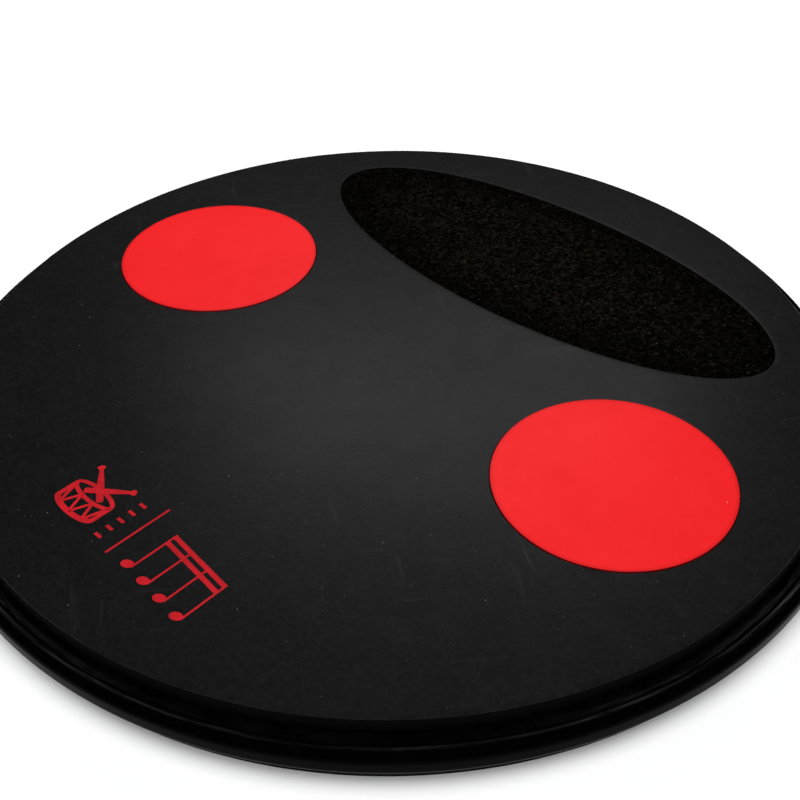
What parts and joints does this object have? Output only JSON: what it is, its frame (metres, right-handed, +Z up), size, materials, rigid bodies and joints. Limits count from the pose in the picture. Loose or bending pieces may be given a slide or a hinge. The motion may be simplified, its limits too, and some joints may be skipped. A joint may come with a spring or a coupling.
{
  "type": "drum practice pad",
  "caption": "Round drum practice pad: rubber face with round silicone and oval crumb-rubber inlays on a board with a plastic edge trim and non-slip base.",
  "frame": {"origin": "centre of the underside of the non-slip base, on the surface that the pad lies on", "axes": "+Z up through the playing surface; +Y from the player towards the oval inlay at the back; +X to the player's right, so the round inlays lie along X"},
  "size_m": [0.321, 0.321, 0.0197],
  "materials": {
    "playing_rubber": "matte charcoal gum rubber, faintly mottled",
    "red_silicone": "smooth matte silicone, bright red",
    "crumb_rubber": "bonded granules, near black with a few coloured grains",
    "trim_plastic": "glossy black extruded plastic",
    "dark_board": "fibreboard, stained black, slightly rough",
    "base_foam": "fine-celled black foam rubber with a non-slip skin",
    "adhesive": "translucent amber adhesive film",
    "printed_ink": "thin red screen-printed ink"
  },
  "bodies": {
    "root": {"playing_surface": "playing_rubber", "red_disc_left": "red_silicone", "red_disc_right": "red_silicone", "oval_inlay": "crumb_rubber", "core_board": "dark_board", "edge_trim": "trim_plastic", "non_slip_base": "base_foam", "surface_film": "adhesive", "disc_film_left": "adhesive", "disc_film_right": "adhesive", "oval_film": "adhesive", "base_film": "adhesive"}
  },
  "joints": []
}
